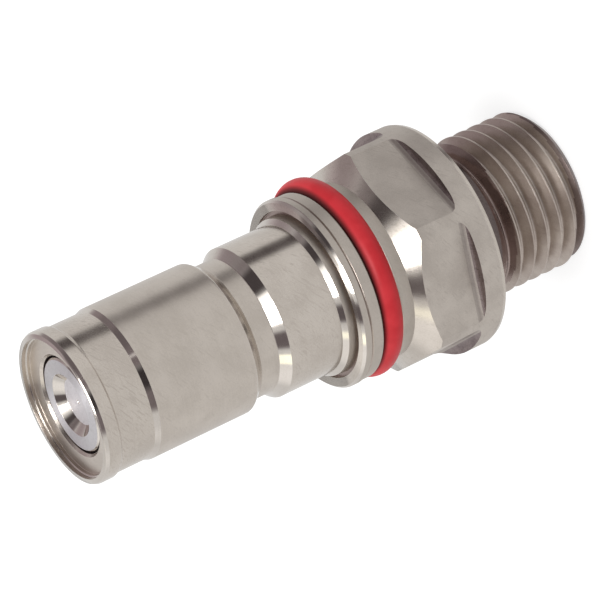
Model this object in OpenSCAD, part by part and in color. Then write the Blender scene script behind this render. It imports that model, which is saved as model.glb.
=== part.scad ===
// Male half of a flat-face quick coupling for liquid cooling, with a G 1/4 port thread.
// Millimetres. Stands on its threaded end: the thread's end face is at z = 0, the axis is +Z,
// and the flat valve face looks up. Two hexagon flats face +X and -X.

/* [Port thread] */
// Major diameter of the G 1/4 male thread, drawn plain
thread_d = 13.157; // [13:0.001:13.3]
// Length from the flange's seat face to the threaded end
port_len = 10.4; // [9.5:0.1:12]
// Chamfer at the threaded end
thread_chamfer = 0.5; // [0.3:0.05:0.8]
// Diameter of the relief groove under the flange
relief_d = 11.3; // [10.8:0.1:11.8]
// Length of the relief groove
relief_len = 2.5; // [1.8:0.1:3]
// Length of the bevel where the thread runs out into the relief groove
runout_len = 0.95; // [0.4:0.05:1.2]
// Diameter of the flow bore through the port
flow_d = 8; // [7:0.1:8.6]

/* [Hexagon body] */
// Diameter of the round bar and its flange
flange_d = 18.9; // [18.6:0.1:20]
// Thickness of the full round flange
flange_t = 2; // [1.5:0.1:3]
// Chamfer of the flange's seat edge
flange_chamfer = 0.3; // [0.1:0.05:0.5]
// Distance across the flats, for a 17 mm spanner
hex_af = 16.8; // [16.6:0.05:17]
// Corner radius left by the cutter at the foot of each flat
cutter_r = 0.6; // [0.3:0.1:0.9]
// Length from the flange to the small end of the front chamfer
hex_len = 5.3; // [4.5:0.1:8]
// Half angle of the front chamfer, from the axis
hex_chamfer_a = 60; // [50:1:70]
// Diameter of the plain collar in front of the chamfer
collar_d = 14.76; // [14.4:0.02:15]
// Length of the collar
collar_len = 1.15; // [0.8:0.05:2]

/* [Identification ring] */
// Thickness of the ring's round section
ring_section = 1.94; // [1.7:0.02:2]
// Outer diameter of the ring
ring_d = 16.74; // [16.6:0.02:17]
// Sideways play that the loose ring has taken up, towards +X
ring_shift = 0.25; // [0:0.05:0.25]
// Width of the ring's groove
ring_groove_w = 2.05; // [2.02:0.01:2.4]
// Diameter of the groove's floor
ring_groove_d = 12.3; // [12.2:0.02:12.3]

/* [Skirt] */
// Diameter of the skirt's front band
skirt_d = 15.84; // [15.7:0.02:16.2]
// Depth of the fine step behind the front band
skirt_step = 0.08; // [0.05:0.01:0.15]
// Length of the band behind the step
skirt_rear_len = 1; // [0.8:0.05:1.2]
// Length of the skirt in front of the ring's groove
skirt_len = 1.96; // [1.8:0.02:2.4]
// Diameter of the skirt's mouth
mouth_d = 14.05; // [13.9:0.05:14.2]
// Thickness of the floor under the mouth
floor_t = 0.8; // [0.6:0.05:1]

/* [Plug nose] */
// Diameter of the plug's guiding land
nose_d = 12.52; // [12.3:0.02:12.8]
// Depth of the relief behind the front lip, on the radius
front_relief = 0.19; // [0.1:0.01:0.3]
// Depth of the locking groove, on the radius
neck_depth = 0.66; // [0.5:0.02:0.8]
// Step of the shoulder that seats in the skirt, on the radius
shoulder_step = 0.44; // [0.3:0.02:0.5]
// Length of the shoulder with its polished front bevel
shoulder_len = 1.95; // [1.6:0.05:2.2]
// Distance from the valve face end to the locking groove
land_end = 14.4; // [13.5:0.1:16]
// Width of the locking groove's floor
neck_w = 1.6; // [1.4:0.1:2.2]
// Length of the plug nose in front of its seat
nose_len = 23.44; // [22.5:0.02:26]
// Length of the nose's spigot inside the hexagon body
spigot_len = 6.7; // [6:0.1:7]
// Diameter of the spigot
spigot_d = 11.2; // [11.1:0.02:11.24]
// Diameter of the bore that takes the valve's guide
guide_d = 8.8; // [8.7:0.05:9]
// Wall of the nose round the flow chamber
nose_wall = 1.16; // [1:0.02:1.3]
// Width of the front rim with its rounded edge
rim_w = 0.54; // [0.4:0.02:0.7]

/* [Valve] */
// Diameter of the valve bore in the nose
valve_bore_d = 8.05; // [7.7:0.05:8.1]
// Gap between the poppet's head and the valve bore, on the radius
head_gap = 0.1; // [0.08:0.01:0.15]
// Depth of the recess in front of the valve
recess_depth = 0.68; // [0.5:0.02:1]
// Length of the valve bore with its lead-in
valve_bore_len = 2.9; // [2.6:0.1:3.4]
// How far the poppet's face lies below the recess
poppet_sink = 0.06; // [0.02:0.01:0.3]
// How far the poppet opens
valve_travel = 6; // [4:0.5:6]
// Diameter of the poppet's stem
stem_d = 2.6; // [2.2:0.1:2.8]
// Length of the bore between the guide and the flow chamber
passage_len = 4.2; // [3:0.1:5]
// Thickness of the guide
guide_t = 1.6; // [1.2:0.1:2]
// Thickness of the guide's clip
clip_t = 0.6; // [0.5:0.05:0.8]
// Diameter of the spring's wire
wire_d = 0.5; // [0.4:0.05:0.6]
// Active turns of the spring
spring_turns = 7; // [5:1:8]

/* [Clearance] */
// Gap on the radius where one part slides in another
slide_gap = 0.03; // [0.02:0.01:0.05]
// Gap on the radius of a fixed fit
fit_gap = 0.02; // [0.01:0.01:0.03]

/* [Hidden] */
$fn = 96;

// stations of the hexagon body, from the threaded end up
flange_top = port_len + flange_t;
collar_z = flange_top + hex_len;
groove_z = collar_z + collar_len;
skirt_z = groove_z + ring_groove_w;
seat_z = skirt_z + floor_t;                     // where the plug nose's shoulder seats
skirt_top = skirt_z + skirt_len;
skirt_edge_w = 0.17;                            // outer front edge, broken by a steep bevel
skirt_edge_h = 0.26;
mouth_band = 0.6;                               // polished band that dips into the mouth
mouth_dip = 0.12;
port_chamfer = 0.3;                             // chamfer of the flow bore's end
hex_chamfer_h = (flange_d - collar_d) / 2 / tan(hex_chamfer_a);

// stations of the plug nose, from the seat up
nose_bottom = seat_z - spigot_len;
face_z = seat_z + nose_len;                     // front rim of the nose
nose_r = nose_d / 2;
front_r = nose_r - front_relief;
neck_r = nose_r - neck_depth;
recess_z = face_z - recess_depth;
neck_top = face_z - land_end;
neck_z = neck_top - neck_w;
neck_bevel_h = 0.74;                            // polished wall behind the locking groove
land_bevel_h = 0.86;                            // rear bevel of the guiding land
shoulder_bevel_h = 0.2;                         // polished bevel in front of the shoulder
shoulder_top = seat_z + shoulder_len - shoulder_bevel_h;
lip_r = nose_r - 0.01;
lip_edge = 0.25;                                // rounding of the front rim
lip_len = 1.3;
lip_step_h = 0.25;                              // slope from the lip down to the relief
front_len = 4.38;                               // rim to the foot of the land's front bevel
front_bevel_h = 0.45;
rim_r = nose_r - rim_w;                         // inner edge of the front rim
recess_r = rim_r - 0.12;
spigot_chamfer = 0.3;
bore_r = spigot_d / 2 + fit_gap;                // bore of the hexagon body round the spigot
bore_z = nose_bottom - 0.4;

// static seal in the spigot
seal_depth = 0.75;
seal_groove_w = 1.1;
seal_back = 1.55;                               // from the seat to the middle of the seal
seal_floor_r = spigot_d / 2 - seal_depth;
seal_z = seat_z - seal_back;
seal_section = bore_r - seal_floor_r - fit_gap / 2; // squeezed between floor and bore

// valve bore, seat and flow chamber
valve_bore_r = valve_bore_d / 2;
valve_lead = 0.12;                              // chamfer at the mouth of the valve bore
seat_top = recess_z - valve_bore_len;           // where the seat cone starts
chamber_r = nose_r - nose_wall;
chamber_top = seat_top - (chamber_r - valve_bore_r);
pocket_r = guide_d / 2;

// poppet, drawn closed
head_r = valve_bore_r - head_gap;
head_top = recess_z - poppet_sink;
head_edge = 0.1;
seat_w = 0.25;                                  // width of the poppet's seat cone
poppet_collar_r = head_r + seat_w;
passage_r = poppet_collar_r + slide_gap;        // lets the poppet in, and its step stops the guide
poppet_cone_top = seat_top - slide_gap + head_gap;
poppet_collar_z = poppet_cone_top - seat_w;
poppet_collar_t = 0.72;
poppet_back = poppet_collar_z - poppet_collar_t;
boss_r = 1.85;                                  // centres the spring on poppet and guide
boss_len = 1;
dimple_r = 2.57;                                // turned hollow with a sloping wall and a flat floor
dimple_depth = 0.67;
seal_slot_depth = 0.68;
seal_slot_w = 0.9;
seal_slot_r = head_r - seal_slot_depth;
seal_slot_z = (head_top + poppet_cone_top) / 2;
head_seal_section = valve_bore_r - fit_gap - seal_slot_r - fit_gap / 2;

// the chamber leaves room for the open poppet and its boss
chamber_room = 0.8;
chamber_z = poppet_back - valve_travel - boss_len - chamber_room;
chamber_bevel_h = chamber_r - passage_r;

// guide, its clip and the spring
guide_top = chamber_z - chamber_bevel_h - passage_len;
guide_z = guide_top - guide_t;
guide_hub_r = boss_r + 0.7;                     // disc that carries the spring
guide_rim_r = pocket_r - 0.5;
guide_arm_w = 1.1;
guide_hub_top = guide_top + 2 * boss_len;
guide_hub_z = guide_z - 0.7;
clip_groove_r = pocket_r + 0.5;
clip_outer_r = clip_groove_r - 0.05;
clip_inner_r = pocket_r - 0.35;
clip_lug_r = 0.6;
clip_hole_r = 0.28;
clip_gap_a = 24;                                // half angle between the lug centres
stem_r = stem_d / 2;
stem_edge = 0.3;
stem_tail = 1.5;
stem_z = guide_hub_z - stem_tail;
spring_r = boss_r + 0.1 + wire_d / 2;
spring_z = guide_top + fit_gap;
spring_h = poppet_back - guide_top - 2 * fit_gap;

steel = [0.72, 0.69, 0.65];
bright_steel = [0.78, 0.76, 0.74];
alloy = [0.80, 0.79, 0.81];
spring_steel = [0.55, 0.54, 0.53];
red_rubber = [0.78, 0.18, 0.22];
black_rubber = [0.09, 0.09, 0.10];

// cutting section of one flat: open outwards, with the cutter's corner radius at its foot
module flat_section() {
    flat_r = hex_af / 2;
    reach = flange_d;
    top = skirt_top - flange_top;
    translate([flat_r, flange_top + cutter_r]) square([reach, top]);
    translate([flat_r + cutter_r, flange_top]) square([reach, top]);
    translate([flat_r + cutter_r, flange_top + cutter_r]) circle(cutter_r, $fn = 48);
}

module hexagon_flats() {
    for (i = [0 : 5])
        rotate([0, 0, 60 * i])
            rotate([90, 0, 0])
                translate([0, 0, -flange_d / 2]) linear_extrude(flange_d) flat_section();
}

// hexagon body: port thread, relief, flange, flats, collar, ring groove and skirt in one turned bar
module adapter_body() {
    thread_r = thread_d / 2;
    relief_r = relief_d / 2;
    flange_r = flange_d / 2;
    relief_z = port_len - relief_len;
    skirt_r = skirt_d / 2;
    mouth_r = mouth_d / 2;
    color(steel)
    difference() {
        rotate_extrude() polygon([
            [flow_d / 2 + port_chamfer, 0],
            [thread_r - thread_chamfer, 0],
            [thread_r, thread_chamfer],
            [thread_r, relief_z - runout_len],
            [relief_r, relief_z],
            [relief_r, port_len],
            [flange_r - flange_chamfer, port_len],
            [flange_r, port_len + flange_chamfer],
            [flange_r, collar_z - hex_chamfer_h],
            [collar_d / 2, collar_z],
            [collar_d / 2, groove_z],
            [ring_groove_d / 2, groove_z],
            [ring_groove_d / 2, skirt_z],
            [skirt_r - skirt_step, skirt_z],
            [skirt_r - skirt_step, skirt_z + skirt_rear_len],
            [skirt_r, skirt_z + skirt_rear_len],
            [skirt_r, skirt_top - skirt_edge_h],
            [skirt_r - skirt_edge_w, skirt_top],
            [mouth_r + mouth_band, skirt_top],
            [mouth_r, skirt_top - mouth_dip],
            [mouth_r, seat_z],
            [bore_r, seat_z],
            [bore_r, bore_z],
            [flow_d / 2, bore_z - (bore_r - flow_d / 2)],
            [flow_d / 2, port_chamfer]
        ]);
        hexagon_flats();
    }
}

// plug nose: everything that enters the socket, turned inside and out from one bar
module plug_nose() {
    spigot_r = spigot_d / 2;
    shoulder_r = nose_r + shoulder_step;
    seal_low = seal_z - seal_groove_w / 2;
    seal_high = seal_z + seal_groove_w / 2;
    foot_z = face_z - front_len;
    clip_low = guide_z - clip_t - fit_gap;
    color(steel)
    rotate_extrude() polygon([
        [pocket_r, nose_bottom],
        [spigot_r - spigot_chamfer, nose_bottom],
        [spigot_r, nose_bottom + spigot_chamfer],
        [spigot_r, seal_low],
        [seal_floor_r, seal_low],
        [seal_floor_r, seal_high],
        [spigot_r, seal_high],
        [spigot_r, seat_z],
        [shoulder_r, seat_z],
        [shoulder_r, shoulder_top],
        [nose_r, shoulder_top + shoulder_bevel_h],
        [nose_r, neck_z - neck_bevel_h],
        [neck_r, neck_z],
        [neck_r, neck_top],
        [nose_r, neck_top + land_bevel_h],
        [nose_r, foot_z - front_bevel_h],
        [front_r, foot_z],
        [front_r, face_z - lip_len - lip_step_h],
        [lip_r, face_z - lip_len],
        [lip_r, face_z - lip_edge],
        [lip_r - 0.3 * lip_edge, face_z - 0.3 * lip_edge],
        [lip_r - lip_edge, face_z],
        [rim_r, face_z],
        [rim_r, face_z - recess_depth / 2],
        [recess_r, face_z - recess_depth / 2 - 0.06],
        [recess_r, recess_z],
        [valve_bore_r + valve_lead, recess_z],
        [valve_bore_r, recess_z - valve_lead],
        [valve_bore_r, seat_top],
        [chamber_r, chamber_top],
        [chamber_r, chamber_z],
        [passage_r, chamber_z - chamber_bevel_h],
        [passage_r, guide_top],
        [pocket_r, guide_top],
        [pocket_r, guide_z],
        [clip_groove_r, guide_z],
        [clip_groove_r, clip_low],
        [pocket_r, clip_low]
    ]);
}

// loose elastomer ring that marks the circuit, resting against one side of its groove
module identification_ring() {
    color(red_rubber)
    translate([ring_shift, 0, groove_z + ring_groove_w / 2])
        rotate_extrude() translate([(ring_d - ring_section) / 2, 0]) circle(d = ring_section, $fn = 48);
}

// static seal round the spigot
module body_seal() {
    color(black_rubber)
    translate([0, 0, seal_z])
        rotate_extrude() translate([bore_r - fit_gap / 4 - seal_section / 2, 0])
            circle(d = seal_section, $fn = 32);
}

// poppet: dimpled flat head, seal slot, seat cone and guide stem
module valve_poppet() {
    slot_low = seal_slot_z - seal_slot_w / 2;
    slot_high = seal_slot_z + seal_slot_w / 2;
    color(alloy)
    rotate_extrude() polygon([
        [0, stem_z],
        [stem_r - stem_edge, stem_z],
        [stem_r, stem_z + stem_edge],
        [stem_r, poppet_back - boss_len],
        [boss_r, poppet_back - boss_len],
        [boss_r, poppet_back],
        [poppet_collar_r, poppet_back],
        [poppet_collar_r, poppet_collar_z],
        [head_r, poppet_cone_top],
        [head_r, slot_low],
        [seal_slot_r, slot_low],
        [seal_slot_r, slot_high],
        [head_r, slot_high],
        [head_r, head_top - head_edge],
        [head_r - head_edge, head_top],
        [dimple_r, head_top],
        [dimple_r - dimple_depth, head_top - dimple_depth],
        [0, head_top - dimple_depth]
    ]);
}

// sliding seal of the poppet, squeezed into the valve bore
module poppet_seal() {
    color(black_rubber)
    translate([0, 0, seal_slot_z])
        rotate_extrude() translate([valve_bore_r - fit_gap - head_seal_section / 2, 0])
            circle(d = head_seal_section, $fn = 32);
}

// height of the wire's centre after t turns: closed end turns, open turns between them
function coil_z(t) =
    let (open_pitch = (spring_h - 3 * wire_d) / spring_turns)
    wire_d / 2 + wire_d * min(t, 1) + open_pitch * min(max(t - 1, 0), spring_turns)
    + wire_d * max(t - 1 - spring_turns, 0);

// compression spring: the wire's section swept along the helix as one closed skin
module valve_spring() {
    sides = 8;
    per_turn = 20;
    rings = (spring_turns + 2) * per_turn;
    skin_points = [
        for (i = [0 : rings], j = [0 : sides - 1])
            let (turn = 360 * i / per_turn, a = 360 * j / sides, r = spring_r + wire_d / 2 * cos(a))
            [r * cos(turn), r * sin(turn), coil_z(i / per_turn) + wire_d / 2 * sin(a)]
    ];
    skin_faces = [
        for (i = [0 : rings - 1], j = [0 : sides - 1])
            let (k = (j + 1) % sides)
            [i * sides + j, i * sides + k, (i + 1) * sides + k, (i + 1) * sides + j]
    ];
    first_end = [for (j = [sides - 1 : -1 : 0]) j];
    last_end = [for (j = [0 : sides - 1]) rings * sides + j];
    color(spring_steel)
    translate([0, 0, spring_z]) polyhedron(skin_points, concat(skin_faces, [first_end, last_end]));
}

// windows of the guide, between hub, rim and three arms
module guide_windows() {
    reach = guide_rim_r + guide_arm_w;
    difference() {
        circle(guide_rim_r);
        circle(guide_hub_r);
        for (a = [90, 210, 330])
            rotate([0, 0, a]) translate([0, -guide_arm_w / 2]) square([reach, guide_arm_w]);
    }
}

// spider that guides the stem, carries the spring and lets the coolant through
module valve_guide() {
    plate_z = guide_z + fit_gap;
    plate_t = guide_t - fit_gap;
    color(bright_steel)
    difference() {
        union() {
            translate([0, 0, plate_z]) linear_extrude(plate_t) difference() {
                circle(pocket_r - fit_gap);
                guide_windows();
            }
            translate([0, 0, guide_hub_z]) cylinder(h = guide_hub_top - guide_hub_z, r = boss_r);
        }
        translate([0, 0, guide_hub_z - boss_len])
            cylinder(h = guide_hub_top - guide_hub_z + 2 * boss_len, r = stem_r + slide_gap);
    }
}

// places what repeats at the clip's two plier lugs
module at_lugs() {
    for (a = [-clip_gap_a, clip_gap_a])
        rotate([0, 0, a]) translate([clip_inner_r - 0.15, 0, 0]) children();
}

// internal retaining ring with two plier lugs, under the guide
module guide_clip() {
    reach = 2 * clip_outer_r;
    slit = reach * tan(clip_gap_a - 9);
    color(spring_steel)
    translate([0, 0, guide_z - clip_t]) linear_extrude(clip_t) difference() {
        union() {
            difference() {
                circle(clip_outer_r);
                circle(clip_inner_r);
            }
            at_lugs() circle(clip_lug_r, $fn = 32);
        }
        polygon([[0, 0], [reach, -slit], [reach, slit]]);
        at_lugs() circle(clip_hole_r, $fn = 24);
    }
}

adapter_body();
plug_nose();
identification_ring();
body_seal();
valve_poppet();
poppet_seal();
valve_spring();
valve_guide();
guide_clip();
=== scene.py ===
import math
import bpy
import numpy as np
from mathutils import Matrix, Vector


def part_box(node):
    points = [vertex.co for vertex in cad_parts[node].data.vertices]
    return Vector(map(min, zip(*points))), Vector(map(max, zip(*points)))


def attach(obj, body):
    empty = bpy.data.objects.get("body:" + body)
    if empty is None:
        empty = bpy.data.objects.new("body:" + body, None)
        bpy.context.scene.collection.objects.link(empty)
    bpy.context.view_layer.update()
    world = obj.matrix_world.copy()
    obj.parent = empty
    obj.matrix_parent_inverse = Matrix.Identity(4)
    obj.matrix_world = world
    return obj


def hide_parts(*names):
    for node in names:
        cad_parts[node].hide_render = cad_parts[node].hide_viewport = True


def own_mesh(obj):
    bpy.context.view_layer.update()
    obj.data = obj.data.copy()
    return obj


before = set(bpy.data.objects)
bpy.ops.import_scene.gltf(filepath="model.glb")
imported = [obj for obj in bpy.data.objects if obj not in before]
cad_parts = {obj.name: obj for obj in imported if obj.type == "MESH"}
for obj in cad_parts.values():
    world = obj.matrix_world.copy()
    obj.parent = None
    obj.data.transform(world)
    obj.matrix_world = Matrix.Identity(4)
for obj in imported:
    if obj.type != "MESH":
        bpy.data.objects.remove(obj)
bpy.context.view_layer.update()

mm = 0.001
scene = bpy.context.scene
scene.view_settings.view_transform = "Standard"


def boxOf(node):            # lowest and highest corner of a CAD node, in millimetres
    low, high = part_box(node)
    return np.array(low) / mm, np.array(high) / mm


print("frame loaded")

# camera
shot = {
    "place": (-13.206, -244.818, 137.968),     # mm
    "heading": 3.05,                           # degrees to the right of +Y
    "tilt": -25.041,                           # degrees above level
    "roll": -115.164,
    "lens": 209.22, "sensor": 36,
    "clip": (0.005, 20),                       # metres
}


def aimCamera(s):
    # Heading and tilt give the forward line. The level and upright lines square to it, turned about it
    # by roll, are the camera's right and up.
    heading, tilt, roll = (math.radians(s[k]) for k in ("heading", "tilt", "roll"))
    forward = Vector((math.sin(heading) * math.cos(tilt),
                      math.cos(heading) * math.cos(tilt),
                      math.sin(tilt)))
    level = forward.cross(Vector((0, 0, 1))).normalized()
    upright = level.cross(forward)
    right = level * math.cos(roll) + upright * math.sin(roll)
    up = right.cross(forward)
    data = bpy.data.cameras.new("camera")
    data.lens, data.sensor_width = s["lens"], s["sensor"]
    data.clip_start, data.clip_end = s["clip"]
    camera = bpy.data.objects.new("camera", data)
    turn = Matrix((right, up, -forward)).transposed().to_4x4()
    camera.matrix_world = Matrix.Translation(Vector(s["place"]) * mm) @ turn
    scene.collection.objects.link(camera)
    scene.camera = camera


aimCamera(shot)
print("camera placed")


# shader arithmetic
class Wire:                                    # a socket that takes part in Python arithmetic
    def __init__(self, tree, socket):
        self.tree, self.socket = tree, socket

    def maths(self, operation, *parts):
        n = self.tree.nodes.new("ShaderNodeMath")
        n.operation = operation
        for slot, part in zip(n.inputs, parts):
            if isinstance(part, Wire):
                self.tree.links.new(part.socket, slot)
            else:
                slot.default_value = part
        return Wire(self.tree, n.outputs[0])

    def __add__(self, other):
        return self.maths("ADD", self, other)

    def __sub__(self, other):
        return self.maths("SUBTRACT", self, other)

    def __rsub__(self, other):
        return self.maths("SUBTRACT", other, self)

    def __mul__(self, other):
        return self.maths("MULTIPLY", self, other)

    __radd__ = __add__
    __rmul__ = __mul__

    def clamped(self):
        return self.maths("MINIMUM", self.maths("MAXIMUM", self, 0.0), 1.0)

    def ease(self, low, high):                 # 0 below low, 1 above high, smooth between
        t = ((self - low) * (1.0 / (high - low))).clamped()
        return t * t * (3.0 - 2.0 * t)


class Finish:                                  # builds one node tree
    def __init__(self, owner):
        owner.use_nodes = True
        self.owner, self.tree = owner, owner.node_tree
        self.tree.nodes.clear()

    def node(self, kind, settings=None, inputs=None):
        n = self.tree.nodes.new(kind)
        for key, value in (settings or {}).items():
            setattr(n, key, value)
        for key, value in (inputs or {}).items():
            if isinstance(value, Wire):
                self.tree.links.new(value.socket, n.inputs[key])
            else:
                n.inputs[key].default_value = value
        return n

    def out(self, n, name=0):
        return Wire(self.tree, n.outputs[name])

    def place(self):                           # object coordinates in millimetres, as x, y, z wires
        spot = self.node("ShaderNodeTexCoord")
        split = self.node("ShaderNodeSeparateXYZ", None, {0: self.out(spot, "Object")})
        return [self.out(split, axis) * (1 / mm) for axis in "XYZ"]

    def vector(self, x, y, z):
        return self.out(self.node("ShaderNodeCombineXYZ", None, {0: x, 1: y, 2: z}))

    def noise(self, vector, scale=1.0, detail=2.0, rough=0.5):
        n = self.node("ShaderNodeTexNoise", None,
                      {"Vector": vector, "Scale": scale, "Detail": detail, "Roughness": rough})
        return self.out(n)

    def mottle(self, vector, scale):           # soft clouds
        return self.noise(vector, scale, detail=3.0)

    def grain(self, vector, scale):            # fine and rough
        return self.noise(vector, scale, rough=0.7)

    def blend(self, factor, first, second):    # colour between two colours
        n = self.node("ShaderNodeMix", {"data_type": "RGBA"}, {0: factor, 6: first, 7: second})
        return self.out(n, 2)

    def bump(self, height, strength, distance=0.01 * mm):
        n = self.node("ShaderNodeBump", None, {"Strength": strength, "Distance": distance, "Height": height})
        return self.out(n)

    def finish(self, shader):
        end = self.node("ShaderNodeOutputMaterial")
        self.tree.links.new(shader.outputs[0], end.inputs[0])
        return self.owner


# finishes
def metalFinish(name, look):
    # turned metal: fine lines round the axis (noise drawn out in x and y, close in z and radius),
    # a soft mottle, a little grain, and faint scuffs drawn out along one slanting direction
    f = Finish(bpy.data.materials.new(name))
    x, y, z = f.place()
    spot = f.vector(x, y, z)
    radius = x.maths("SQRT", x * x + y * y)
    drawn, close = look["lineDrawn"], look["lineScale"]
    across = z * close + radius * (look["lineRadial"] * close)
    lines = f.noise(f.vector(x * drawn, y * drawn, across), detail=3.0, rough=0.6)
    mottle, grain = f.mottle(spot, look["mottleScale"]), f.grain(spot, look["grainScale"])
    (alongX, alongZ), side, (acrossZ, acrossX) = look["scuffAlong"], look["scuffSide"], look["scuffAcross"]
    slanting = f.vector(x * alongX + z * alongZ, y * side, z * acrossZ - x * acrossX)
    scuffs = f.noise(slanting).ease(*look["scuffEdge"])
    share = look["mottleShare"]
    tone = mottle * share + grain * (1.0 - share)
    tone = tone + (lines - 0.5) * look["lineTone"] - scuffs * look["scuffTone"]
    colour = f.blend(tone.ease(*look["contrast"]), look["dark"], look["light"])
    rough = look["rough"] + (mottle - 0.5) * look["roughMottle"] + (lines - 0.5) * look["roughLines"]
    height = lines * look["lineShare"] + grain * (1.0 - look["lineShare"]) - scuffs * look["scuffTone"]
    shader = f.node("ShaderNodeBsdfPrincipled", None, {
        "Base Color": colour, "Metallic": 1.0, "Roughness": rough.clamped(),
        "Normal": f.bump(height, look["bump"]),
        "Anisotropic": look["drawn"], "Anisotropic Rotation": look["drawnTurn"]})
    return f.finish(shader)


turnedLook = {
    "dark": (0.55, 0.495, 0.44, 1), "light": (0.65, 0.59, 0.53, 1),
    "contrast": (0.3, 0.7),                    # tones at which the colour is all dark and all light
    "rough": 0.33, "roughMottle": 0.08, "roughLines": 0.05,
    "lineScale": 14.0, "lineDrawn": 0.4, "lineRadial": 0.6, "lineTone": 0.25,
    "lineShare": 0.35, "mottleShare": 0.6,     # of the bump and of the tone, the rest is grain
    "mottleScale": 0.45, "grainScale": 9.0,
    "scuffAlong": (0.7, 0.5), "scuffAcross": (6.0, 4.4), "scuffSide": 2.0,   # shares of x and z, and of y
    "scuffEdge": (0.55, 0.75),                 # noise at which a scuff begins and is full
    "scuffTone": 0.15, "bump": 0.22,
    "drawn": 0.3, "drawnTurn": 0.25,           # how far highlights draw out, and their turn
}
# the other metals change some of its values
satinLook = dict(turnedLook, dark=(0.50, 0.45, 0.40, 1), light=(0.59, 0.535, 0.48, 1), rough=0.48, bump=0.3,
                 scuffTone=0.1, drawn=0.1)
brightLook = dict(turnedLook, rough=0.18, bump=0.12, roughMottle=0.05, scuffTone=0.25, drawn=0.4)
scuffedLook = dict(turnedLook, rough=0.24, bump=0.30, scuffTone=0.9, drawn=0.4)
polishedLook = dict(turnedLook, dark=(0.60, 0.55, 0.50, 1), light=(0.68, 0.63, 0.58, 1), rough=0.09,
                    roughMottle=0.04, roughLines=0.03, bump=0.05, scuffTone=0.0, drawn=0.5)
blastedLook = dict(turnedLook, dark=(0.49, 0.44, 0.395, 1), light=(0.63, 0.575, 0.52, 1), rough=0.50,
                   roughLines=0.02, lineTone=0.05, lineShare=0.1, grainScale=12.0, bump=0.45, drawn=0.0)
millLook = dict(turnedLook, dark=(0.38, 0.335, 0.305, 1), light=(0.48, 0.43, 0.39, 1), rough=0.44, bump=0.3,
                drawn=0.0)
# painted shade: near black steel for the flange's ledge and the fillet's lower turns beside the flats, and
# for the valve bore's lead, standing in for the shade and dark reflections there
cutterLook = dict(millLook, dark=(0.17, 0.13, 0.13, 1), light=(0.34, 0.28, 0.27, 1), rough=0.36, bump=0.6)
# painted shade: steel darker than the turned steel for the thread and the skirt's small step, standing in for
# the shade in their V-grooves
threadShadeLook = dict(turnedLook, dark=(0.42, 0.355, 0.315, 1), light=(0.55, 0.485, 0.435, 1), rough=0.36,
                  scuffTone=0.1)
# painted shade: dark steel for the hollows, the run-out into the relief, the flange's seat, the skirt's rear
# corner and the mouth's wall, standing in for the shade in them
grooveShadeLook = dict(turnedLook, dark=(0.27, 0.21, 0.19, 1), light=(0.38, 0.30, 0.275, 1), rough=0.28,
                  scuffTone=0.1)
# painted shade: near black steel for the relief's neck under the flange, standing in for the flange's shadow
# and the dark it reflects
reliefShadeLook = dict(grooveShadeLook, dark=(0.10, 0.078, 0.074, 1), light=(0.17, 0.137, 0.13, 1), rough=0.34)
endLook = dict(grooveShadeLook, dark=(0.20, 0.16, 0.15, 1), light=(0.31, 0.25, 0.235, 1), rough=0.36)
poppetLook = dict(turnedLook, dark=(0.56, 0.54, 0.55, 1), light=(0.68, 0.66, 0.68, 1), rough=0.40, bump=0.5,
                  lineTone=0.1, lineShare=0.3, grainScale=7.0, drawn=0.65)
dimpleLook = dict(poppetLook, rough=0.62, drawn=0.0)

turnedSteel = metalFinish("turnedSteel", turnedLook)
satinSteel = metalFinish("satinSteel", satinLook)
brightSteel = metalFinish("brightSteel", brightLook)
polishedSteel = metalFinish("polishedSteel", polishedLook)
scuffedSteel = metalFinish("scuffedSteel", scuffedLook)
blastedSteel = metalFinish("blastedSteel", blastedLook)
millSteel = metalFinish("millSteel", millLook)
cutterSteel = metalFinish("cutterSteel", cutterLook)
threadShadeSteel = metalFinish("threadShadeSteel", threadShadeLook)
grooveShadeSteel = metalFinish("grooveShadeSteel", grooveShadeLook)
reliefShadeSteel = metalFinish("reliefShadeSteel", reliefShadeLook)
endSteel = metalFinish("endSteel", endLook)
poppetMetal = metalFinish("poppetMetal", poppetLook)
dimpleMetal = metalFinish("dimpleMetal", dimpleLook)


def rubberFinish(name, look):
    # moulded elastomer: a soft skin with a faint mottle, a bloom of fine dust and tiny pits; above a given
    # height the skin turns dark and rougher, painted shade where the ring tucks in behind the skirt
    f = Finish(bpy.data.materials.new(name))
    x, y, z = f.place()
    spot = f.vector(x, y, z)
    mottle, grain = f.mottle(spot, look["mottleScale"]), f.grain(spot, look["grainScale"])
    clean = f.blend(mottle.ease(*look["contrast"]), look["dark"], look["light"])
    # painted shade: towards the skirt the skin blends to a near black red and grows rougher
    tuckShade = z.ease(*look["tuck"])
    rough = look["rough"] + (mottle - 0.5) * look["roughMottle"] + tuckShade * look["roughInShade"]
    shader = f.node("ShaderNodeBsdfPrincipled", None, {
        "Base Color": f.blend(tuckShade, clean, look["tuckShade"]), "Roughness": rough.clamped(),
        "Specular IOR Level": look["shine"], "Normal": f.bump(grain, look["bump"]),
        "Sheen Weight": look["fuzz"], "Sheen Roughness": look["fuzzRough"], "Sheen Tint": look["fuzzTint"]})
    return f.finish(shader)


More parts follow.
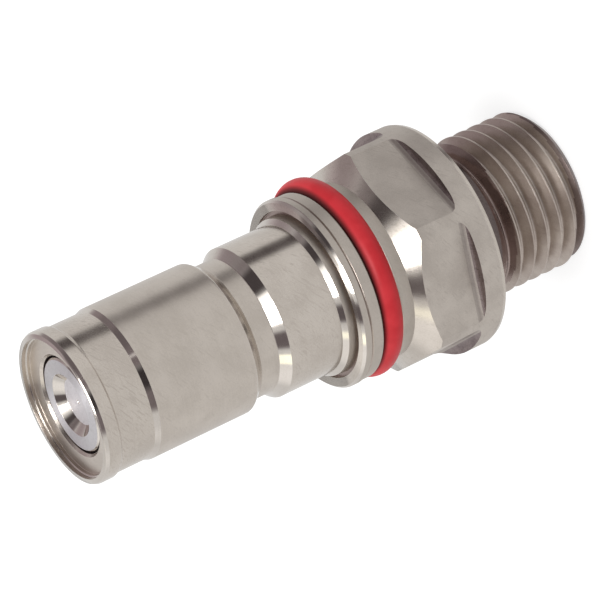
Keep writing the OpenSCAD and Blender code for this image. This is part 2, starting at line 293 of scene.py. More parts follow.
redLook = {
    "dark": (0.53, 0.016, 0.024, 1), "light": (0.62, 0.028, 0.038, 1), "contrast": (0.3, 0.7),
    "rough": 0.42, "roughMottle": 0.15, "shine": 0.3, "mottleScale": 0.5, "grainScale": 14.0, "bump": 0.25,
    "fuzz": 0.35, "fuzzRough": 0.4, "fuzzTint": (0.9, 0.10, 0.12, 1),
    "tuck": (20.50, 20.82),                    # heights between which the painted shade sets in, close behind the skirt
    # colour and added roughness of the painted shade behind the skirt
    "tuckShade": (0.05, 0.004, 0.004, 1), "roughInShade": 0.3,
}
blackLook = dict(redLook, dark=(0.012, 0.012, 0.013, 1), light=(0.022, 0.022, 0.023, 1), rough=0.5, fuzz=0.0,
                 tuck=(60.0, 61.0))            # above the part, so no painted shade
redElastomer = rubberFinish("redElastomer", redLook)
blackElastomer = rubberFinish("blackElastomer", blackLook)
print("finishes made")


# surfaces
def polar(radius, angle, z):
    # (radius cos angle, radius sin angle, z), for points and for normals alike
    radius, angle, z = np.broadcast_arrays(radius, angle, z)
    return np.stack([radius * np.cos(angle), radius * np.sin(angle), z], -1)


def leaning(lean, angle):
    # normals along angle that lean up by lean degrees: (cos lean cos angle, cos lean sin angle, sin lean)
    lean = np.radians(lean)
    return polar(np.cos(lean), angle, np.sin(lean))


def fullTurn(columns):                         # even angles, the last the same place as the first
    return np.linspace(0, 2 * np.pi, columns + 1)


def softProfile(corners, closed):
    # Each corner of a line of (r, z, rounding, finish) rows becomes the curve
    # (1-s)^2 a + 2 s (1-s) corner + s^2 b, where a and b lie before and after the corner by rounding times
    # the tangent of half the turn, or less where a side is short.
    # Gives points, outward normals (right of the travel), and the finish of each span.
    steps, most = 5, 0.45                      # spans of one curve, and the share of a side that it may take
    place = np.array([c[:2] for c in corners], float)
    rounding = np.array([c[2] for c in corners], float)
    finish = np.array([c[3] for c in corners])
    before, after = place - np.roll(place, 1, 0), np.roll(place, -1, 0) - place
    if not closed:
        before[0], after[-1] = after[0], before[-1]
    lengthIn, lengthOut = np.linalg.norm(before, axis=1), np.linalg.norm(after, axis=1)
    dirIn, dirOut = before / lengthIn[:, None], after / lengthOut[:, None]
    turn = np.arccos(np.clip((dirIn * dirOut).sum(1), -1, 1))
    reach = np.minimum(rounding * np.tan(turn / 2), most * np.minimum(lengthIn, lengthOut))
    if not closed:
        reach[[0, -1]] = 0
    s = np.linspace(0, 1, steps + 1)[None, :, None]
    a, b = place - dirIn * reach[:, None], place + dirOut * reach[:, None]
    points = (1 - s) ** 2 * a[:, None] + 2 * s * (1 - s) * place[:, None] + s ** 2 * b[:, None]
    travel = (1 - s) * dirIn[:, None] + s * dirOut[:, None]
    normals = np.stack([travel[..., 1], -travel[..., 0]], -1)
    normals /= np.linalg.norm(normals, axis=-1, keepdims=True)
    spans = np.repeat(finish[:, None], steps + 1, 1)
    spans[:, : steps // 2] = np.roll(finish, 1)[:, None]
    points, normals, spans = points.reshape(-1, 2), normals.reshape(-1, 2), spans.reshape(-1)
    if closed:
        points, normals = np.vstack([points, points[:1]]), np.vstack([normals, normals[:1]])
    else:
        spans = spans[:-1]
    return points, normals, spans


def latheBlock(corners, angles, closed=True):
    # the profile's points (r, z) carried round the axis: (r cos a, r sin a, z) for each angle a
    points, normals, spans = softProfile(corners, closed)
    turn = angles[:, None]
    return polar(points[:, 0], turn, points[:, 1]), polar(normals[:, 0], turn, normals[:, 1]), spans


def makePiece(name, blocks, finishes, body, slot, *nodes):
    # Joins grids of points into one mesh: welds points that coincide, cuts each cell in two triangles,
    # drops the empty ones and turns each outwards. Blocks are (points, normals, finish of each span),
    # with the finishes by their names in finishes.
    weldSteps = 1e5                            # to the millimetre
    points = np.concatenate([b[0].reshape(-1, 3) for b in blocks])
    facing = np.concatenate([b[1].reshape(-1, 3) for b in blocks])
    names = np.array(list(finishes))
    triangles, kinds, start = [], [], 0
    for grid, _, spans in blocks:
        rows, columns = grid.shape[:2]
        index = start + np.arange(rows * columns).reshape(rows, columns)
        a, b, c, d = index[:-1, :-1], index[1:, :-1], index[1:, 1:], index[:-1, 1:]
        triangles += [np.stack([a, b, c], -1).reshape(-1, 3), np.stack([a, c, d], -1).reshape(-1, 3)]
        kind = np.argmax(np.asarray(spans)[..., None] == names, axis=-1)
        kinds += [np.broadcast_to(kind, (rows - 1, columns - 1)).reshape(-1)] * 2
        start += rows * columns
    triangles, kinds = np.concatenate(triangles), np.concatenate(kinds)
    steps = np.rint(points * weldSteps).astype(np.int64)
    _, first, weld = np.unique(steps, axis=0, return_index=True, return_inverse=True)
    joined = weld.reshape(-1)[triangles]
    full = (joined != np.roll(joined, 1, 1)).all(1)
    triangles, joined, kinds = triangles[full], joined[full], kinds[full]
    spots = points[first]
    flat = np.cross(spots[joined[:, 1]] - spots[joined[:, 0]], spots[joined[:, 2]] - spots[joined[:, 0]])
    wrong = (flat * facing[triangles].sum(1)).sum(1) < 0
    triangles[wrong], joined[wrong] = triangles[wrong][:, ::-1], joined[wrong][:, ::-1]
    mesh = bpy.data.meshes.new(name)
    mesh.vertices.add(len(spots))
    mesh.vertices.foreach_set("co", (spots * mm).astype(np.float32).ravel())
    mesh.loops.add(joined.size)
    mesh.loops.foreach_set("vertex_index", joined.astype(np.int32).ravel())
    mesh.polygons.add(len(joined))
    mesh.polygons.foreach_set("loop_start", np.arange(0, joined.size, 3, dtype=np.int32))
    mesh.polygons.foreach_set("material_index", kinds.astype(np.int32))
    mesh.polygons.foreach_set("use_smooth", np.ones(len(joined), bool))
    for material in finishes.values():
        mesh.materials.append(material)
    mesh.update(calc_edges=True)
    mesh.normals_split_custom_set(facing[triangles].reshape(-1, 3))
    piece = bpy.data.objects.new(name, mesh)
    scene.collection.objects.link(piece)
    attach(piece, body)
    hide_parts(*nodes)
    print(name, len(joined), "triangles")
    return piece


# port thread
thread = {
    "major": 6.5785, "pitch": 1.337, "depth": 0.856, "flank": 27.5,
    "crestFlat": 0.035, "crestRounding": 0.03, "rootRounding": 0.137,   # half width and radii, over pitch
    "crest": 4.24, "crestAt": 270.0,           # height and angle of one crest
    "endRadius": 6.1, "endSlope": 0.80, "endTop": 0.65,   # bevel at the threaded end
    "ramp": 6.95, "top": 7.9, "neck": 5.65, "topSlope": 0.978,   # bevel into the relief groove
    "bore": 4.0, "boreBevel": 0.3, "boreRim": 0.2,
    "columns": 288, "crestRows": 3, "flankRows": 8, "rootRows": 7, "turns": (-5, 5),
    # the helix and the run-out are darkened as painted shade of their grooves
    "finishes": {"helix": threadShadeSteel, "bore": turnedSteel, "runOut": grooveShadeSteel, "end": endSteel},
}


def threadArcs(t):
    # radius, half width and height of the crest's edge arc and of the root arc, up to where they meet
    # the flank: radius * sin of the flank's lean, and radius * (1 - cos of it)
    lean = math.radians(90 - t["flank"])
    arcs = [t[k] * t["pitch"] for k in ("crestRounding", "rootRounding")]
    return arcs, [a * math.sin(lean) for a in arcs], [a * (1 - math.cos(lean)) for a in arcs]


def threadClimb(angle, t):
    # height of the crest's helix at an angle, over the one crest that is given: pitch * angle / full turn
    return t["pitch"] * (angle - math.radians(t["crestAt"])) / (2 * np.pi)


def threadRadius(z, angle, t):
    # radius of the thread: crest arc, straight flank and root arc by the distance from the nearest crest,
    # kept under the two end bevels
    half = t["pitch"] / 2
    along = z - t["crest"] - threadClimb(angle, t)
    flat = t["crestFlat"] * t["pitch"]
    away = np.maximum(np.abs((along + half) % t["pitch"] - half) - flat, 0)
    half -= flat
    (crestArc, rootArc), (crestWide, rootWide), (crestDrop, rootDrop) = threadArcs(t)
    low = t["major"] - t["depth"]
    crest = t["major"] - crestArc + np.sqrt(np.maximum(crestArc ** 2 - np.minimum(away, crestWide) ** 2, 0))
    root = low + rootArc - np.sqrt(np.maximum(rootArc ** 2 - np.minimum(half - away, rootWide) ** 2, 0))
    share = np.clip((away - crestWide) / (half - crestWide - rootWide), 0, 1)
    flank = (t["major"] - crestDrop) * (1 - share) + (low + rootDrop) * share
    radius = np.where(away < crestWide, crest, np.where(half - away < rootWide, root, flank))
    radius = np.minimum(radius, t["endRadius"] + t["endSlope"] * z)
    return np.minimum(radius, t["neck"] + t["topSlope"] * (t["top"] - z))


def threadBlock(t):
    # rows follow the helix: z = row + pitch * angle / full turn, kept between the two ends,
    # with more rows on the arcs
    angles = fullTurn(t["columns"])[:, None]
    _, (crestWide, rootWide), _ = threadArcs(t)
    half, flat = t["pitch"] / 2, t["crestFlat"] * t["pitch"]
    edge = flat + crestWide
    one = np.concatenate([np.linspace(-edge, -flat, t["crestRows"]),
                          np.linspace(flat, edge, t["crestRows"]),
                          np.linspace(edge, half - rootWide, t["flankRows"])[1:],
                          np.linspace(half - rootWide, half + rootWide, t["rootRows"])[1:],
                          np.linspace(half + rootWide, 2 * half - edge, t["flankRows"])[1:-1]])
    rows = (one + np.arange(*t["turns"])[:, None] * t["pitch"]).reshape(1, -1)
    z = t["crest"] + rows + threadClimb(angles, t)
    z = np.round(np.clip(z, 0, t["top"]), 7)   # so that rows past an end fall together
    radius = threadRadius(z, angles, t)
    step = 1e-4
    slopeZ = (threadRadius(z + step, angles, t) - threadRadius(z - step, angles, t)) / (2 * step)
    slopeA = (threadRadius(z, angles + step, t) - threadRadius(z, angles - step, t)) / (2 * step)
    cos, sin = np.cos(angles), np.sin(angles)
    facing = np.stack([cos + slopeA / radius * sin, sin - slopeA / radius * cos, -slopeZ], -1)
    facing /= np.linalg.norm(facing, axis=-1, keepdims=True)
    spans = np.where(z[1:, 1:] < t["endTop"], "end", "helix")
    return polar(radius, angles, z), facing, np.where(z[:-1, :-1] > t["ramp"], "runOut", spans)


def buildPortThread(t):
    # the helix, the bore's profile turned round the axis, and the end face between the two
    angles = fullTurn(t["columns"])
    bevelOut = t["bore"] + t["boreBevel"]
    rim = bevelOut + t["boreRim"]
    inner = latheBlock([
        (t["neck"], t["top"], 0, "bore"),
        (t["bore"], t["top"], 0, "bore"),
        (t["bore"], t["boreBevel"], 0.05, "bore"),
        (bevelOut, 0, 0.05, "bore"),
        (rim, 0, 0, "bore"),
    ], angles, closed=False)
    edge = threadRadius(np.zeros(1), angles, t)
    radius = rim + (edge - rim)[:, None] * np.linspace(0, 1, 3)
    end = polar(radius, angles[:, None], 0), polar(0 * radius, angles[:, None], -1), "bore"
    return makePiece("portThread", [threadBlock(t), inner, end], t["finishes"],
                     "plug", "turned_stainless", "adapter_body")


buildPortThread(thread)

# hexagon body
hexBody = {
    "round": 9.45, "flat": 8.4, "fillet": 0.6,
    "seat": 10.4, "seatEdge": 0.33, "seatIn": 0.1, "flangeTop": 12.4,
    "coneFoot": 16.505, "coneTop": 17.7, "collar": 7.38, "collarEdge": 0.12,
    "coneLean": 47.0,                          # tilt of the cone's shading, rolled over a little by polishing
    "cutterEdge": 42.0,                        # turn of the fillet up to which the ledge's painted shade reaches
    "grooveLow": 18.85, "grooveHigh": 20.9, "grooveFloor": 6.15,
    "skirtRear": 7.84, "skirtEdge": 0.12, "skirtStep": 21.92, "stepDepth": 0.11,
    "skirt": 7.92, "skirtTop": 22.86,
    "mouth": 7.025, "mouthBand": 0.70, "mouthDip": 0.1, "mouthFloor": 22.5,
    "mouthLean": 50.0,                         # tilt of the worn front rim's shading
    "bore": 5.62, "boreFoot": 14.6, "flow": 4.0, "neck": 5.65, "foot": 7.9,
    "middleColumns": 26, "sideColumns": 10, "stripColumns": 6,
    "ledgeRows": 4, "filletRows": 7, "faceRows": 5,
    "finishes": {
        "blasted": blastedSteel, "cutter": cutterSteel, "polished": polishedSteel, "satin": satinSteel,
        "step": threadShadeSteel, "mill": millSteel, "groove": grooveShadeSteel, "bright": brightSteel,
        "relief": reliefShadeSteel,
    },
}


sixth = math.pi / 3


def flatColumns(h):
    # angles over one flat, closer together past the ledge's end, and over the strip of bar up to the next
    corner = math.acos(h["flat"] / h["round"])
    ledgeEnd = math.acos((h["flat"] + h["fillet"]) / h["round"])
    overFlat = np.concatenate([np.linspace(-corner, -ledgeEnd, h["sideColumns"]),
                               np.linspace(-ledgeEnd, ledgeEnd, h["middleColumns"])[1:-1],
                               np.linspace(ledgeEnd, corner, h["sideColumns"])])
    return overFlat, np.linspace(corner, sixth - corner, h["stripColumns"])


def filletStart(t, h):
    # at angle t from a flat's middle: turn of the fillet's arc where it leaves the bar,
    # arcsin of (flat + fillet - round cos t) / fillet, and the height there
    fillet = h["fillet"]
    begin = np.arcsin(np.clip((h["flat"] + fillet - h["round"] * np.cos(t)) / fillet, 0, 1))
    return begin, h["flangeTop"] + fillet - fillet * np.cos(begin)


def coneHeight(radius, h):
    # height of the front cone at a radius, straight from the bar's edge to the collar
    slope = (h["coneTop"] - h["coneFoot"]) / (h["round"] - h["collar"])
    return h["coneFoot"] + (h["round"] - radius) * slope


def hexBlocks(h):
    # One flat of the hexagon, as blocks over the angle t from its middle, and the strip of bar beside it,
    # six times. The flat is the plane at distance flat, so its radius is flat / cos t. Under it lie a fillet,
    # an arc in the plane square to the flat, and the flange's ledge.
    wide, flat, fillet = h["round"], h["flat"], h["fillet"]
    overFlat, overStrip = flatColumns(h)
    t = overFlat[:, None]
    centre = h["flangeTop"] + fillet
    begin, crease = filletStart(t, h)
    edge = np.maximum(begin, math.radians(h["cutterEdge"]))
    ledgeIn = np.minimum((flat + fillet) / np.cos(t), wide)
    ledge = wide + (ledgeIn - wide) * np.linspace(0, 1, h["ledgeRows"])
    plane = flat / np.cos(t)
    wall = centre + (coneHeight(plane, h) - centre) * np.linspace(0, 1, h["faceRows"])
    bar = np.linspace(centre, h["coneFoot"], h["faceRows"])
    up = np.array([0.0, 0.0, 1.0])
    blocks = []
    for middle in np.arange(6) * sixth:
        a = t + middle
        face = polar(1, middle, 0)
        # the ledge and the fillet's lower turns carry painted shade, the upper turns the milled steel
        blocks.append((polar(ledge, a, crease), np.broadcast_to(up, ledge.shape + (3,)), "cutter"))
        for low, high, kind in ((begin, edge, "cutter"), (edge, np.pi / 2, "mill")):
            swing = low + (high - low) * np.linspace(0, 1, h["filletRows"])
            bend = (flat + fillet - fillet * np.sin(swing)) / np.cos(t)
            lean = np.sin(swing)[..., None] * face + np.cos(swing)[..., None] * up
            blocks.append((polar(bend, a, centre - fillet * np.cos(swing)), lean, kind))
        blocks.append((polar(plane, a, wall), np.broadcast_to(face, wall.shape + (3,)), "blasted"))
        a = overStrip[:, None] + middle
        blocks.append((polar(wide, a, bar), leaning(0 * bar, a), "blasted"))
    return blocks


def bodyColumns(h):
    # angles of all columns round the body, the same as the flats' and strips' own, with the hexagon's radius
    # and the height of the cutter's edge over each
    overFlat, overStrip = flatColumns(h)
    one = np.concatenate([overFlat, overStrip[1:-1]])
    local = np.tile(one, 6)
    angles = local + np.repeat(np.arange(6), len(one)) * sixth
    local, angles = np.append(local, local[0]), np.append(angles, angles[0] + 2 * math.pi)
    onFlat = np.abs(local) <= overFlat[-1] + 1e-9
    radius = np.where(onFlat, h["flat"] / np.cos(np.where(onFlat, local, 0)), h["round"])
    crease = np.where(onFlat, filletStart(local, h)[1], h["flangeTop"] + h["fillet"])
    return angles, np.minimum(radius, h["round"]), crease


def buildHexBody(h):
    # the hexagon's blocks, the round flange, the front cone, the outer profile with the ring's groove and
    # the skirt, the skirt's rim, and the inner profile from the mouth to the seat, all turned round the axis
    angles, radius, crease = bodyColumns(h)
    turn = angles[:, None]
    blocks = hexBlocks(h)
    s = np.linspace(0, 1, h["faceRows"])
    # round flange, up to where the cutter's floor meets it
    flangeFoot = h["seat"] + h["seatEdge"]
    z = flangeFoot + (crease[:, None] - flangeFoot) * s
    blocks.append((polar(h["round"], turn, z), leaning(0 * z, turn), "blasted"))
    # front cone, from the flats' curved edges in to the collar
    r = radius[:, None] + (h["collar"] - radius[:, None]) * s
    blocks.append((polar(r, turn, coneHeight(r, h)), leaning(h["coneLean"] + 0 * r, turn), "bright"))
    step, edge = h["stepDepth"], h["skirtEdge"]
    rimOut = h["mouth"] + h["mouthBand"], h["skirtTop"]
    rimIn = h["mouth"], h["skirtTop"] - h["mouthDip"]
    blocks.append(latheBlock([
        (h["collar"], h["coneTop"], 0, "satin"),
        (h["collar"], h["grooveLow"] - h["collarEdge"], 0.02, "satin"),
        (h["collar"] - h["collarEdge"], h["grooveLow"], 0.02, "satin"),
        (h["grooveFloor"], h["grooveLow"], 0.1, "satin"),
        (h["grooveFloor"], h["grooveHigh"], 0.1, "satin"),
        (h["skirtRear"] - edge, h["grooveHigh"], 0.02, "groove"),
        (h["skirtRear"], h["grooveHigh"] + edge, 0.1, "satin"),
        # the skirt's small step carries the thread's painted shade
        (h["skirtRear"], h["skirtStep"], 0.02, "step"),
        (h["skirtRear"] - step, h["skirtStep"] + step, 0.02, "step"),
        (h["skirt"], h["skirtStep"] + 2 * step, 0.02, "satin"),
        (h["skirt"], h["skirtTop"] - (h["skirt"] - rimOut[0]), 0.1, "polished"),
        (*rimOut, 0, "polished"),
    ], angles, closed=False))
    rim, _, spans = latheBlock([(*rimOut, 0, "bright"), (*rimIn, 0, "bright")], angles, closed=False)
    blocks.append((rim, leaning(np.full(rim.shape[:2], h["mouthLean"]), turn), spans))
    blocks.append(latheBlock([
        (*rimIn, 0, "satin"),
        # the mouth's wall and the flange's seat carry the hollows' painted shade
        (h["mouth"], h["mouthFloor"], 0.08, "groove"),
        (h["bore"], h["mouthFloor"], 0.05, "satin"),
        (h["bore"], h["boreFoot"], 0.05, "satin"),
        (h["flow"], h["boreFoot"] - (h["bore"] - h["flow"]), 0.05, "satin"),
        (h["flow"], h["foot"], 0, "satin"),
        # the relief's neck carries painted shade
        (h["neck"], h["foot"], 0, "relief"),
        (h["neck"], h["seat"], 0.25, "groove"),
        (h["round"] - h["seatIn"], h["seat"], 0.05, "bright"),
        (h["round"], flangeFoot, 0, "blasted"),
    ], angles, closed=False))
    return makePiece("hexBody", blocks, h["finishes"], "plug", "turned_stainless", "adapter_body")


buildHexBody(hexBody)

# plug nose
noseLow, noseHigh = boxOf("plug_nose")
nose = {
    # radii
    "spigot": 5.6, "shoulderFoot": 6.70, "shoulder": 6.62, "land": 6.26, "neck": 5.6, "front": 6.07,
    "lip": 6.25, "rimOut": 6.13, "rimIn": 5.72, "recess": 5.6, "valveBore": 4.025, "chamber": 5.1,
    "passage": 4.205, "pocket": 4.4,
    # heights over the inner end
    "spigotEdge": 0.3, "sealLow": 4.6, "sealHigh": 5.7, "sealDepth": 0.75, "spigotTop": 6.7,
    # depths under the front rim, outside and then inside
    "shoulderLow": 22.64, "shoulderHigh": 21.77, "bandLow": 21.42, "bandHigh": 16.74,
    "neckLow": 16.0, "neckHigh": 14.4, "landLow": 13.54, "landHigh": 4.83,
    "frontLow": 4.38, "frontHigh": 1.55, "lipLow": 1.30, "lipHigh": 0.30, "rimDrop": 0.03,
    "recessDepth": 0.68, "recessStep": 0.06, "valveLead": 0.2, "valveBoreLow": 3.58,
    "chamberHigh": 4.655, "chamberLow": 12.28, "passageHigh": 13.175,
    # the spring's ledge and, under it, the groove for the guide's clip
    "springGap": 0.02, "clipHigh": 1.6, "clipLow": 2.22, "clipDepth": 0.5,
    "rimLean": (76.0, 56.0),                   # tilt of the rim's shading at its inner and outer edge
    "columns": 256,
    "finishes": {
        "turned": turnedSteel, "polished": polishedSteel, "bright": brightSteel, "scuffed": scuffedSteel,
        "dark": cutterSteel,
    },
}


def buildNose(n):
    # one closed profile turned round the axis, up the outside from the inner end and down through the bores
    top, foot = noseHigh[2], noseLow[2]
    ledge = boxOf("valve_spring")[0][2] - n["springGap"]
    sealFloor, clipFloor = n["spigot"] - n["sealDepth"], n["pocket"] + n["clipDepth"]
    stepLow = n["recessDepth"] / 2 + n["recessStep"]
    angles = fullTurn(n["columns"])
    grid, facing, spans = latheBlock([
        (n["pocket"], foot, 0.05, "turned"),
        (n["spigot"] - n["spigotEdge"], foot, 0.05, "turned"),
        (n["spigot"], foot + n["spigotEdge"], 0.05, "turned"),
        (n["spigot"], foot + n["sealLow"], 0.03, "turned"),
        (sealFloor, foot + n["sealLow"], 0.05, "turned"),
        (sealFloor, foot + n["sealHigh"], 0.05, "turned"),
        (n["spigot"], foot + n["sealHigh"], 0.03, "turned"),
        (n["spigot"], foot + n["spigotTop"], 0.05, "turned"),
        (n["shoulderFoot"], foot + n["spigotTop"], 0.04, "turned"),
        (n["shoulderFoot"], top - n["shoulderLow"], 0.04, "turned"),
        (n["shoulder"], top - n["shoulderHigh"], 0.03, "polished"),
        (n["land"], top - n["bandLow"], 0.03, "bright"),
        (n["land"], top - n["bandHigh"], 0.04, "polished"),
        (n["neck"], top - n["neckLow"], 0.12, "turned"),
        (n["neck"], top - n["neckHigh"], 0.10, "polished"),
        (n["land"], top - n["landLow"], 0.35, "turned"),
        (n["land"], top - n["landHigh"], 0.04, "polished"),
        (n["front"], top - n["frontLow"], 0.05, "scuffed"),
        (n["front"], top - n["frontHigh"], 0.25, "scuffed"),
        (n["lip"], top - n["lipLow"], 0.20, "bright"),
        (n["lip"], top - n["lipHigh"], 0.05, "polished"),
        (n["rimOut"], top - n["rimDrop"], 0.04, "polished"),
        (n["rimIn"], top, 0.04, "bright"),
        (n["rimIn"], top - n["recessDepth"] / 2, 0.03, "polished"),
        (n["recess"], top - stepLow, 0.03, "bright"),
        (n["recess"], top - n["recessDepth"], 0.05, "turned"),
        (n["valveBore"] + n["valveLead"], top - n["recessDepth"], 0.03, "scuffed"),
        # painted shade: the valve bore's lead is darkened to stand in for the shaded gap round the poppet
        (n["valveBore"], top - n["recessDepth"] - n["valveLead"], 0.03, "dark"),
        (n["valveBore"], top - n["valveBoreLow"], 0.05, "polished"),
        (n["chamber"], top - n["chamberHigh"], 0.1, "turned"),
        (n["chamber"], top - n["chamberLow"], 0.1, "turned"),
        (n["passage"], top - n["passageHigh"], 0.1, "turned"),
        (n["passage"], ledge, 0.03, "turned"),
        (n["pocket"], ledge, 0.03, "turned"),
        (n["pocket"], ledge - n["clipHigh"], 0.02, "turned"),
        (clipFloor, ledge - n["clipHigh"], 0.02, "turned"),
        (clipFloor, ledge - n["clipLow"], 0.02, "turned"),
        (n["pocket"], ledge - n["clipLow"], 0.02, "turned"),
    ], angles)
    # polishing rolled the front rim over, so its shading leans outwards, most at the outer edge
    near = 1e-6
    radius = np.hypot(grid[..., 0], grid[..., 1])
    onRim = (grid[..., 2] > top - n["rimDrop"] - near) & (radius > n["rimIn"] - near)
    rolled = leaning(np.interp(radius, (n["rimIn"], n["rimOut"]), n["rimLean"]), angles[:, None])
    facing[onRim] = rolled[onRim]
    return makePiece("noseShell", [(grid, facing, spans)], n["finishes"],
                     "plug", "turned_stainless", "plug_nose")


buildNose(nose)

# marking ring
ringLow, ringHigh = boxOf("identification_ring")
ring = {
    "section": 0.955, "sag": 0.015,
    "flash": 0.02, "flashWide": 0.05,          # depth in mm and half width in radians of the mould line
    "columns": 256, "around": 64,
    "finishes": {"moulded": redElastomer},
}


def buildRing(r):
    # a torus: centre circle of radius middle round the ring's own axis, round section, with a fine groove
    # as the mould line outside
    middle = (ringHigh[0] - ringLow[0]) / 2 - r["section"]
    centre = (ringLow[2] + ringHigh[2]) / 2 - r["sag"]
    shift = (ringHigh[:2] + ringLow[:2]) / 2
    angles, turn = fullTurn(r["columns"])[:, None], fullTurn(r["around"])
    seam = -r["flash"] * np.exp(-(np.minimum(turn, 2 * np.pi - turn) / r["flashWide"]) ** 2)
    size = r["section"] + seam
    grid = polar(middle + size * np.cos(turn), angles, centre + size * np.sin(turn)) + (*shift, 0)
    facing = polar(np.cos(turn), angles, np.sin(turn))
    piece = makePiece("markingRing", [(grid, facing, "moulded")], r["finishes"],
                      "plug", "red_elastomer", "identification_ring")
    piece.visible_glossy = False               # keeps red out of the polished cone beside it
    return piece


buildRing(ring)

# valve poppet
poppetLow, poppetHigh = boxOf("valve_poppet")
poppet = {
    # radii
    "head": 3.87, "seat": 4.175, "slot": 3.245, "boss": 1.85, "stem": 1.3, "dimple": 2.57,
    "centreMark": 0.16,
    "back": 40.66,                             # height of the seat's rear face
    "sink": 0.05,                              # of the head's face, under the top of the CAD node
    "stemEdge": 0.3, "bossHigh": 1.0, "seatHigh": 0.72, "coneHigh": 0.97, "slotHalf": 0.45,
    "headEdge": 0.15, "dimpleDepth": 0.67, "markSlope": 0.6,
    "columns": 192,
    "finishes": {"face": poppetMetal, "polished": polishedSteel, "turned": turnedSteel, "floor": dimpleMetal},
}


def buildPoppet(p):
    # one open profile turned round the axis, from the stem's end to the middle of the dimpled face
    top, foot, back = poppetHigh[2] - p["sink"], poppetLow[2], p["back"]
    coneTop = back + p["coneHigh"]
    middle = (top + coneTop) / 2
    floor = top - p["dimpleDepth"]
    return makePiece("valvePoppet", [latheBlock([
        (0, foot, 0, "turned"),
        (p["stem"] - p["stemEdge"], foot, 0.05, "turned"),
        (p["stem"], foot + p["stemEdge"], 0.05, "turned"),
        (p["stem"], back - p["bossHigh"], 0.05, "turned"),
        (p["boss"], back - p["bossHigh"], 0.08, "turned"),
        (p["boss"], back, 0.08, "turned"),
        (p["seat"], back, 0.05, "turned"),
        (p["seat"], back + p["seatHigh"], 0.02, "polished"),
        (p["head"], coneTop, 0.02, "turned"),
        (p["head"], middle - p["slotHalf"], 0.03, "turned"),
        (p["slot"], middle - p["slotHalf"], 0.05, "turned"),
        (p["slot"], middle + p["slotHalf"], 0.05, "turned"),
        (p["head"], middle + p["slotHalf"], 0.03, "turned"),
        (p["head"], top - p["headEdge"], 0.12, "polished"),
        (p["head"] - p["headEdge"], top, 0.12, "face"),
        (p["dimple"], top, 0.08, "polished"),
        (p["dimple"] - p["dimpleDepth"], floor, 0.08, "floor"),
        (p["centreMark"], floor, 0.02, "polished"),
        (0, floor - p["markSlope"] * p["centreMark"], 0, "polished"),
    ], fullTurn(p["columns"]), closed=False)], p["finishes"], "poppet", "satin_stainless", "valve_poppet")


buildPoppet(poppet)

# spring
springLow, springHigh = boxOf("valve_spring")
spring = {
    "wire": 0.5, "middle": 2.2, "turns": 9, "perTurn": 48, "around": 14,
    "travel": 6.0,                             # of the poppet
    "finishes": {"wire": brightSteel},
}


def buildSpring(s):
    # the wire's circle carried along a helix whose first and last turns lie closed
    half = s["wire"] / 2
    loose = s["turns"] - 2                     # open turns between the closed ends
    turn = np.linspace(0, s["turns"], s["turns"] * s["perTurn"] + 1)
    pitch = (springHigh[2] - springLow[2] - 3 * s["wire"]) / loose
    lift = half + s["wire"] * np.minimum(turn, 1) + pitch * np.clip(turn - 1, 0, loose)
    lift = springLow[2] + lift + s["wire"] * np.maximum(turn - s["turns"] + 1, 0)
    # a row of no thickness closes each end
    thick = np.pad(np.full(len(turn), half), 1)[:, None]
    turn, lift = np.pad(turn, 1, "edge")[:, None], np.pad(lift, 1, "edge")[:, None]
    a, w = 2 * np.pi * turn, fullTurn(s["around"])
    grid = polar(s["middle"] + thick * np.cos(w), a, lift + thick * np.sin(w))
    facing = polar(np.cos(w), a, np.sin(w))
    piece = makePiece("springCoil", [(grid, facing, "wire")], s["finishes"],
                      "plug", "spring_steel", "valve_spring")
    travel, length = s["travel"], springHigh[2] - springLow[2]
    (length - travel) / length
    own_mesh(piece)
    return piece


buildSpring(spring)

# inner pieces keep their CAD meshes
for name, material in (("valve_guide", turnedSteel), ("guide_clip", brightSteel),
                       ("body_seal", blackElastomer), ("poppet_seal", blackElastomer)):
    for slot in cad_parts[name].material_slots:
        slot.material = material
print("pieces made")

# floor
ground = {
    "half": 3,                                 # metres
    "paper": (0.42, 0.42, 0.42, 1),
    "glow": 0.68,                              # what the camera sees besides the light on it
}


def buildFloor(g):
    half = g["half"]
    corners = [(-half, -half, 0), (half, -half, 0), (half, half, 0), (-half, half, 0)]
    mesh = bpy.data.meshes.new("floor")
    mesh.from_pydata(corners, [], [(0, 1, 2, 3)])
    floor = bpy.data.objects.new("floor", mesh)
    scene.collection.objects.link(floor)
    floor.visible_glossy = False               # metal shows the tent instead
    f = Finish(bpy.data.materials.new("floorPaper"))
    rays = f.node("ShaderNodeLightPath")
    paper = f.node("ShaderNodeBsdfDiffuse", None, {"Color": g["paper"]})
    glow = f.node("ShaderNodeEmission", None,
                  {"Color": (1, 1, 1, 1), "Strength": f.out(rays, "Is Camera Ray") * g["glow"]})
    both = f.node("ShaderNodeAddShader")
    f.tree.links.new(paper.outputs[0], both.inputs[0])
    f.tree.links.new(glow.outputs[0], both.inputs[1])
    mesh.materials.append(f.finish(both))


# world
def dusk(level):                               # the tent's dark openings are a little plum
    return (level, 0.86 * level, 0.91 * level, 1)


def glare(level):
    return (level, level, level, 1)


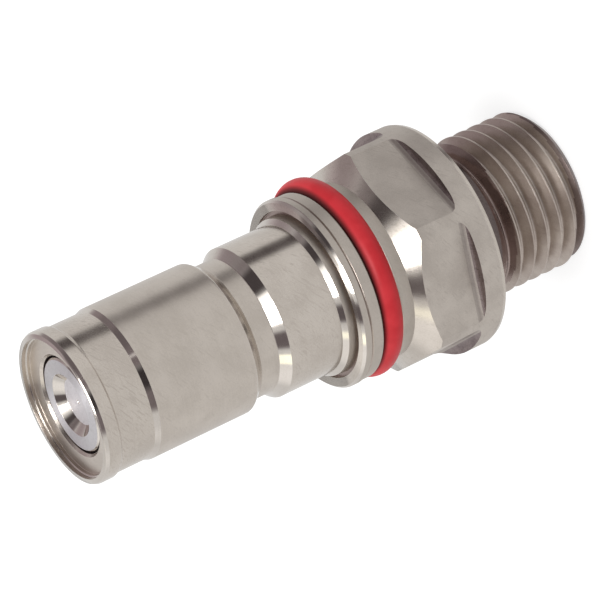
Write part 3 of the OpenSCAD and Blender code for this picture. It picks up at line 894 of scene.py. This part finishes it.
tent = {
    "base": glare(0.80),                       # what metal sees between the patches
    "diffuse": glare(0.82),                    # what lights everything else
    "backdrop": glare(1.0),                    # what the camera sees
    # soft patches that metal sees: azimuth, elevation, inner and outer radius in degrees, colour
    "patches": [
        (160, 30, 8, 30, glare(1.12)),
        (50, 35, 12, 34, dusk(0.48)),
        (20, 12, 8, 26, dusk(0.33)),
        (350, 20, 16, 34, dusk(0.24)),
        (318, 20, 14, 28, dusk(0.18)),
        (290, 18, 8, 22, dusk(0.24)),
        (228, 18, 10, 24, dusk(0.22)),
        (258, 18, 10, 22, dusk(0.05)),
        (332, 50, 9, 20, dusk(0.08)),
        (355, -22, 4, 15, dusk(0.10)),
        (355, -45, 5, 16, dusk(0.12)),
        (208, 51, 6, 13, dusk(0.18)),
        (197, 64, 7, 13, dusk(0.14)),
        (353, 66, 5, 12, dusk(0.12)),
        (12, 52, 7, 15, dusk(0.22)),
        (130, 67, 4, 11, dusk(0.30)),
        (41, 65, 5, 12, dusk(0.22)),
        (293, 18, 2, 5, glare(2.0)),
        (177, 40, 4, 8, (1.9, 1.9, 1.6, 1)),
        (258, 58, 8, 14, glare(2.0)),
        (283, 58, 8, 14, glare(2.0)),
        (85, 79, 7, 12, glare(2.0)),
    ],
}


def skyLine(azimuth, elevation):               # unit vector, from degrees
    a, e = math.radians(azimuth), math.radians(elevation)
    return math.cos(a) * math.cos(e), math.sin(a) * math.cos(e), math.sin(e)


def buildWorld(t):
    world = bpy.data.worlds.new("tent")
    scene.world = world
    f = Finish(world)
    way = f.out(f.node("ShaderNodeTexCoord"), "Generated")
    seen = t["base"]
    for azimuth, elevation, inner, outer, colour in t["patches"]:
        centre = skyLine(azimuth, elevation)
        dot = f.node("ShaderNodeVectorMath", {"operation": "DOT_PRODUCT"}, {0: way, 1: centre})
        mask = f.out(dot, "Value").ease(math.cos(math.radians(outer)), math.cos(math.radians(inner)))
        seen = f.blend(mask, seen, colour)
    rays = f.node("ShaderNodeLightPath")
    colour = f.blend(f.out(rays, "Is Glossy Ray"), t["diffuse"], seen)
    colour = f.blend(f.out(rays, "Is Camera Ray"), colour, t["backdrop"])
    glow = f.node("ShaderNodeBackground", None, {"Color": colour, "Strength": 1.0})
    end = f.node("ShaderNodeOutputWorld")
    f.tree.links.new(glow.outputs[0], end.inputs[0])


# lamps, all aimed at one spot, in metres, degrees and watts
lampTarget = (0, 0, 0.022)
lamps = {
    "key": {"azimuth": 262, "elevation": 60, "distance": 0.7, "size": 0.30, "power": 1.6},
    "top": {"azimuth": 85, "elevation": 78, "distance": 0.7, "size": 0.25, "power": 0.9},
}


def buildLamps(lights):
    for name, one in lights.items():
        way = Vector(skyLine(one["azimuth"], one["elevation"]))
        data = bpy.data.lights.new(name, "AREA")
        data.shape, data.size, data.energy = "DISK", one["size"], one["power"]
        lamp = bpy.data.objects.new(name, data)
        lamp.location = Vector(lampTarget) + way * one["distance"]
        lamp.rotation_mode = "QUATERNION"
        lamp.rotation_quaternion = (-way).to_track_quat("-Z", "Y")
        scene.collection.objects.link(lamp)


buildFloor(ground)
buildWorld(tent)
buildLamps(lamps)
print("floor, world and lamps made")
